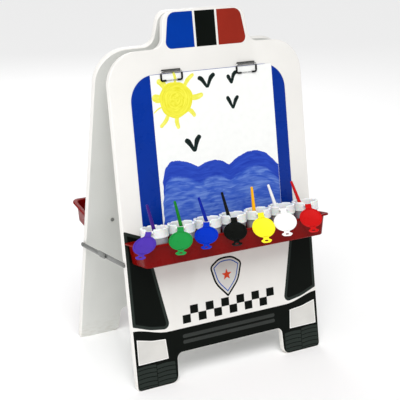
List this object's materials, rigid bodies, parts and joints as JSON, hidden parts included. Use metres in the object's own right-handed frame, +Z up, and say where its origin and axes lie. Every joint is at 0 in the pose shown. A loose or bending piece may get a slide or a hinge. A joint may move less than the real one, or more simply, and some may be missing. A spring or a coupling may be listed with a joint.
{
  "type": "kids easel",
  "caption": "Folding two-sided kids easel: hinged boards, side braces, paper clips and trays, with lidded paint cups and brushes in the front tray.",
  "frame": {"origin": "floor level, under the middle of the easel's outer box", "axes": "+Z up, -Y out of the painted front board, +X to the right as seen from the front"},
  "size_m": [0.6448, 0.5264, 1.004],
  "materials": {
    "board": "white melamine-faced board, satin",
    "wipe_panel": "dark blue dry-wipe plastic sheet",
    "paper": "uncoated drawing paper",
    "tray": "deep red moulded plastic, satin gloss",
    "zinc": "zinc-plated steel",
    "clip": "nickel-plated steel",
    "cup": "translucent milky polypropylene",
    "decal_black": "near-black printed vinyl",
    "decal_grey": "dark grey-green printed vinyl",
    "decal_blue": "blue printed vinyl",
    "decal_red": "brick red printed vinyl",
    "lamp_grey": "pale grey printed vinyl",
    "paint_blue": "dried blue poster paint",
    "paint_yellow": "dried yellow poster paint",
    "paint_black": "dried black poster paint",
    "bristle": "nylon bristle",
    "purple_plastic": "purple moulded plastic, satin gloss",
    "green_plastic": "green moulded plastic, satin gloss",
    "blue_plastic": "blue moulded plastic, satin gloss",
    "black_plastic": "black moulded plastic, satin gloss",
    "yellow_plastic": "yellow moulded plastic, satin gloss",
    "white_plastic": "white moulded plastic, satin gloss",
    "red_plastic": "red moulded plastic, satin gloss"
  },
  "bodies": {
    "frame": {"front_board": "board", "left_hinge_front_leaf": "zinc", "right_hinge_front_leaf": "zinc", "left_hinge_pin": "zinc", "right_hinge_pin": "zinc", "front_wipe_panel": "wipe_panel", "paper_sheet": "paper", "front_left_clip_base": "clip", "front_right_clip_base": "clip", "front_tray": "tray", "front_left_tray_bolt": "zinc", "front_left_tray_nut": "zinc", "front_right_tray_bolt": "zinc", "front_right_tray_nut": "zinc", "left_brace_front_screw": "zinc", "right_brace_front_screw": "zinc"},
    "rear_leg": {"rear_board": "board", "left_hinge_rear_leaf": "zinc", "right_hinge_rear_leaf": "zinc", "rear_wipe_panel": "wipe_panel", "rear_left_clip_base": "clip", "rear_right_clip_base": "clip", "rear_tray": "tray", "rear_left_tray_bolt": "zinc", "rear_left_tray_nut": "zinc", "rear_right_tray_bolt": "zinc", "rear_right_tray_nut": "zinc", "left_brace_rear_screw": "zinc", "right_brace_rear_screw": "zinc"},
    "left_front_link": {"left_brace_front_link": "zinc"},
    "left_rear_link": {"left_brace_rear_link": "zinc", "left_brace_knee_rivet": "zinc"},
    "right_front_link": {"right_brace_front_link": "zinc"},
    "right_rear_link": {"right_brace_rear_link": "zinc", "right_brace_knee_rivet": "zinc"},
    "front_left_wire": {"front_left_clip_wire": "clip"},
    "front_right_wire": {"front_right_clip_wire": "clip"},
    "rear_left_wire": {"rear_left_clip_wire": "clip"},
    "rear_right_wire": {"rear_right_clip_wire": "clip"},
    "purple_cup": {"purple_paint_cup": "cup"},
    "purple_lid": {"purple_cup_lid": "purple_plastic"},
    "purple_brush_body": {"purple_brush": "purple_plastic"},
    "green_cup": {"green_paint_cup": "cup"},
    "green_lid": {"green_cup_lid": "green_plastic"},
    "green_brush_body": {"green_brush": "green_plastic"},
    "blue_cup": {"blue_paint_cup": "cup"},
    "blue_lid": {"blue_cup_lid": "blue_plastic"},
    "blue_brush_body": {"blue_brush": "blue_plastic"},
    "black_cup": {"black_paint_cup": "cup"},
    "black_lid": {"black_cup_lid": "black_plastic"},
    "black_brush_body": {"black_brush": "black_plastic"},
    "yellow_cup": {"yellow_paint_cup": "cup"},
    "yellow_lid": {"yellow_cup_lid": "yellow_plastic"},
    "yellow_brush_body": {"yellow_brush": "yellow_plastic"},
    "white_cup": {"white_paint_cup": "cup"},
    "white_lid": {"white_cup_lid": "white_plastic"},
    "white_brush_body": {"white_brush": "white_plastic"},
    "red_cup": {"red_paint_cup": "cup"},
    "red_lid": {"red_cup_lid": "red_plastic"},
    "red_brush_body": {"red_brush": "red_plastic"}
  },
  "joints": [
    {"name": "fold", "type": "hinge", "parent": "frame", "child": "rear_leg", "pos_m": [0.00823, 0.02603, 0.98779], "axis": [-1, 0, 0], "range_deg": [0, 20.9]},
    {"name": "left_front_link_turn", "type": "hinge", "parent": "frame", "child": "left_front_link", "pos_m": [0.00823, -0.10698, 0.34933], "axis": [1, 0, 0], "range_deg": [0, 79.8]},
    {"name": "left_rear_link_turn", "type": "hinge", "parent": "rear_leg", "child": "left_rear_link", "pos_m": [0.00823, 0.16412, 0.3218], "axis": [-1, 0, 0], "range_deg": [0, 67.6]},
    {"name": "right_front_link_turn", "type": "hinge", "parent": "frame", "child": "right_front_link", "pos_m": [0.00823, -0.10698, 0.34933], "axis": [1, 0, 0], "range_deg": [0, 79.8]},
    {"name": "right_rear_link_turn", "type": "hinge", "parent": "rear_leg", "child": "right_rear_link", "pos_m": [0.00823, 0.16412, 0.3218], "axis": [-1, 0, 0], "range_deg": [0, 67.6]},
    {"name": "front_left_wire_lift", "type": "hinge", "parent": "frame", "child": "front_left_wire", "pos_m": [-0.11077, -0.029, 0.8505], "axis": [-1, 0, 0], "range_deg": [0, 70], "stiffness_Nm_per_rad": 0.05, "springref_deg": -20.05},
    {"name": "front_right_wire_lift", "type": "hinge", "parent": "frame", "child": "front_right_wire", "pos_m": [0.12723, -0.029, 0.8505], "axis": [-1, 0, 0], "range_deg": [0, 70], "stiffness_Nm_per_rad": 0.05, "springref_deg": -20.05},
    {"name": "rear_left_wire_lift", "type": "hinge", "parent": "rear_leg", "child": "rear_left_wire", "pos_m": [0.12723, 0.08106, 0.8505], "axis": [1, 0, 0], "range_deg": [0, 70], "stiffness_Nm_per_rad": 0.05, "springref_deg": -20.05},
    {"name": "rear_right_wire_lift", "type": "hinge", "parent": "rear_leg", "child": "rear_right_wire", "pos_m": [-0.11077, 0.08106, 0.8505], "axis": [1, 0, 0], "range_deg": [0, 70], "stiffness_Nm_per_rad": 0.05, "springref_deg": -20.05},
    {"name": "purple_cup_lift", "type": "slide", "parent": "frame", "child": "purple_cup", "axis": [0, 0.1817, 0.9834], "range_m": [0, 0.075]},
    {"name": "purple_lid_swing", "type": "hinge", "parent": "purple_cup", "child": "purple_lid", "pos_m": [-0.25948, -0.18037, 0.45879], "axis": [-0.6691, 0.7308, -0.135], "range_deg": [0, 115]},
    {"name": "purple_brush_draw", "type": "slide", "parent": "purple_cup", "child": "purple_brush_body", "axis": [-0.2153, 0.1378, 0.9668], "range_m": [0, 0.09]},
    {"name": "green_cup_lift", "type": "slide", "parent": "frame", "child": "green_cup", "axis": [0, 0.1817, 0.9834], "range_m": [0, 0.075]},
    {"name": "green_lid_swing", "type": "hinge", "parent": "green_cup", "child": "green_lid", "pos_m": [-0.16889, -0.18799, 0.4602], "axis": [-0.8572, 0.5065, -0.0936], "range_deg": [0, 115]},
    {"name": "green_brush_draw", "type": "slide", "parent": "green_cup", "child": "green_brush_body", "axis": [-0.2344, 0.0665, 0.9699], "range_m": [0, 0.09]},
    {"name": "blue_cup_lift", "type": "slide", "parent": "frame", "child": "blue_cup", "axis": [0, 0.1817, 0.9834], "range_m": [0, 0.075]},
    {"name": "blue_lid_swing", "type": "hinge", "parent": "blue_cup", "child": "blue_lid", "pos_m": [-0.0889, -0.18724, 0.46006], "axis": [-0.8387, 0.5356, -0.099], "range_deg": [0, 115]},
    {"name": "blue_brush_draw", "type": "slide", "parent": "blue_cup", "child": "blue_brush_body", "axis": [-0.2868, 0.1065, 0.9521], "range_m": [0, 0.09]},
    {"name": "black_cup_lift", "type": "slide", "parent": "frame", "child": "black_cup", "axis": [0, 0.1817, 0.9834], "range_m": [0, 0.075]},
    {"name": "black_lid_swing", "type": "hinge", "parent": "black_cup", "child": "black_lid", "pos_m": [-0.00397, -0.18936, 0.46045], "axis": [-0.891, 0.4464, -0.0825], "range_deg": [0, 115]},
    {"name": "black_brush_draw", "type": "slide", "parent": "black_cup", "child": "black_brush_body", "axis": [-0.2446, 0.128, 0.9612], "range_m": [0, 0.09]},
    {"name": "yellow_cup_lift", "type": "slide", "parent": "frame", "child": "yellow_cup", "axis": [0, 0.1817, 0.9834], "range_m": [0, 0.05]},
    {"name": "yellow_lid_swing", "type": "hinge", "parent": "yellow_cup", "child": "yellow_lid", "pos_m": [0.08184, -0.19134, 0.46082], "axis": [-0.9397, 0.3363, -0.0622], "range_deg": [0, 115]},
    {"name": "yellow_brush_draw", "type": "slide", "parent": "yellow_cup", "child": "yellow_brush_body", "axis": [-0.1197, 0.0354, 0.9922], "range_m": [0, 0.09]},
    {"name": "white_cup_lift", "type": "slide", "parent": "frame", "child": "white_cup", "axis": [0, 0.1817, 0.9834], "range_m": [0, 0.05]},
    {"name": "white_lid_swing", "type": "hinge", "parent": "white_cup", "child": "white_lid", "pos_m": [0.15843, -0.18936, 0.46045], "axis": [-0.891, 0.4464, -0.0825], "range_deg": [0, 115]},
    {"name": "white_brush_draw", "type": "slide", "parent": "white_cup", "child": "white_brush_body", "axis": [-0.2954, 0.1758, 0.939], "range_m": [0, 0.09]},
    {"name": "red_cup_lift", "type": "slide", "parent": "frame", "child": "red_cup", "axis": [0, 0.1817, 0.9834], "range_m": [0, 0.075]},
    {"name": "red_lid_swing", "type": "hinge", "parent": "red_cup", "child": "red_lid", "pos_m": [0.24224, -0.19056, 0.46067], "axis": [-0.9205, 0.3842, -0.071], "range_deg": [0, 115]},
    {"name": "red_brush_draw", "type": "slide", "parent": "red_cup", "child": "red_brush_body", "axis": [-0.3297, 0.1911, 0.9245], "range_m": [0, 0.09]}
  ],
  "couplings": [
    {"joint": "left_front_link_turn", "follows": "fold", "ratio": 3.7956},
    {"joint": "left_rear_link_turn", "follows": "fold", "ratio": 3.2094},
    {"joint": "right_front_link_turn", "follows": "fold", "ratio": 3.7956},
    {"joint": "right_rear_link_turn", "follows": "fold", "ratio": 3.2094}
  ]
}
